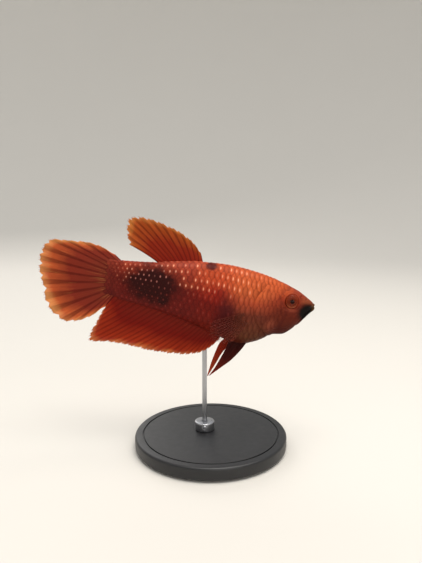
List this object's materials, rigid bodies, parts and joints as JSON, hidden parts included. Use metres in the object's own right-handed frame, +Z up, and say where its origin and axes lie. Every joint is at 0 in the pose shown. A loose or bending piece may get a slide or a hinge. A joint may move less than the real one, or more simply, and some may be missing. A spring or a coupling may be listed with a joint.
{
  "type": "betta fish",
  "caption": "Short-finned red betta fish, life size, whole body with fins spread, held by a thin rod on a flat round display base.",
  "frame": {"origin": "centre of the underside of the round base of the display stand", "axes": "+X towards the fish's snout, +Y towards the fish's left side, +Z up; the fish swims level but for its nose, which points 8 degrees down"},
  "size_m": [0.0556, 0.032, 0.0484],
  "materials": {
    "scaled_skin": "wet, finely scaled skin, orange-red on the back to maroon below, with a near-black blotch",
    "black_lips": "black skin of the lips and chin",
    "eye": "glossy eye, dark red iris and black pupil",
    "red_fin": "thin membrane on darker rays, orange rim",
    "dark_fin": "thin membrane, near-black maroon",
    "clear_fin": "almost clear membrane on fine reddish rays",
    "stand_black": "satin black",
    "stand_steel": "satin"
  },
  "bodies": {
    "root": {"head": "scaled_skin", "gill_cover_right": "scaled_skin", "gill_cover_left": "scaled_skin", "trunk": "scaled_skin", "tail_stalk": "scaled_skin", "lower_jaw": "black_lips", "eye_right": "eye", "eye_left": "eye", "dorsal_fin": "red_fin", "anal_fin": "red_fin", "caudal_fin": "red_fin", "pelvic_fin_left": "red_fin", "pelvic_fin_right": "dark_fin", "pectoral_fin_right": "clear_fin", "pectoral_fin_left": "clear_fin", "stand_base": "stand_black", "stand_collar": "stand_steel", "stand_rod": "stand_steel"}
  },
  "joints": []
}
